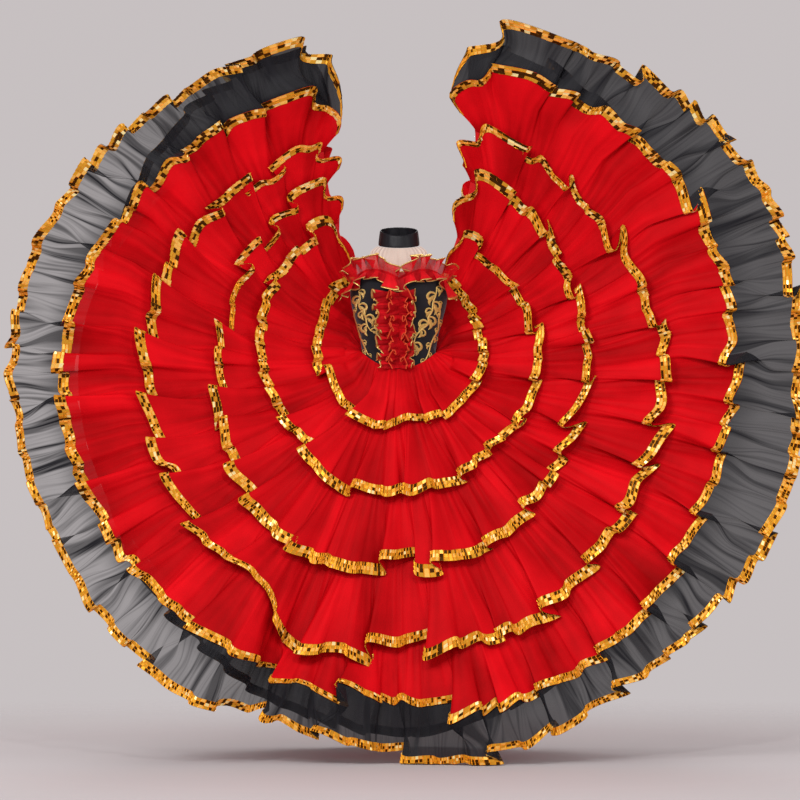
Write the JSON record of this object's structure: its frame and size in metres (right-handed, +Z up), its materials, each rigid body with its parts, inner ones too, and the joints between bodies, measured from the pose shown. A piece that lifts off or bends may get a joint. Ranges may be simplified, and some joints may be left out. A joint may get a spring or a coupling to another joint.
{
  "type": "flamenco dress",
  "caption": "Full-length stage dress with a very wide tiered organza skirt spread into an upright fan, a velvet bodice, a sheer halter yoke and a neck band.",
  "frame": {"origin": "middle of the waist, where the wearer's waist carries the dress", "axes": "+Z up, -Y is the front of the dress, +X is the wearer's left"},
  "size_m": [2.2464, 0.7938, 2.0955],
  "materials": {
    "satin": "red polyester satin",
    "organza": "sheer red organza, gathered",
    "black_organza": "sheer black organza, gathered",
    "gold_braid": "gold sequin braid",
    "velvet": "black velvet with gold scroll embroidery",
    "ruffle_organza": "sheer red organza with a fine gold edge",
    "yoke_mesh": "skin-toned stretch mesh",
    "black_satin": "black satin"
  },
  "bodies": {
    "root": {"base_front": "satin", "base_back": "satin", "tier_1_front": "organza", "tier_1_back": "organza", "tier_2_front": "organza", "tier_2_back": "organza", "tier_3_front": "organza", "tier_3_back": "organza", "tier_4_front": "organza", "tier_4_back": "organza", "tier_5_front": "organza", "tier_5_back": "organza", "flounce_front": "black_organza", "flounce_back": "black_organza", "trim_1_front": "gold_braid", "trim_1_back": "gold_braid", "trim_2_front": "gold_braid", "trim_2_back": "gold_braid", "trim_3_front": "gold_braid", "trim_3_back": "gold_braid", "trim_4_front": "gold_braid", "trim_4_back": "gold_braid", "trim_5_front": "gold_braid", "trim_5_back": "gold_braid", "trim_6_front": "gold_braid", "trim_6_back": "gold_braid", "bodice_front_right": "velvet", "bodice_front_left": "velvet", "bodice_back": "velvet", "neck_band": "black_satin", "yoke": "yoke_mesh", "neckline_ruffle_upper": "ruffle_organza", "neckline_ruffle_lower": "ruffle_organza", "front_ruffle_wide_right": "ruffle_organza", "front_ruffle_wide_left": "ruffle_organza", "front_ruffle_narrow_right": "ruffle_organza", "front_ruffle_narrow_left": "ruffle_organza"}
  },
  "joints": []
}
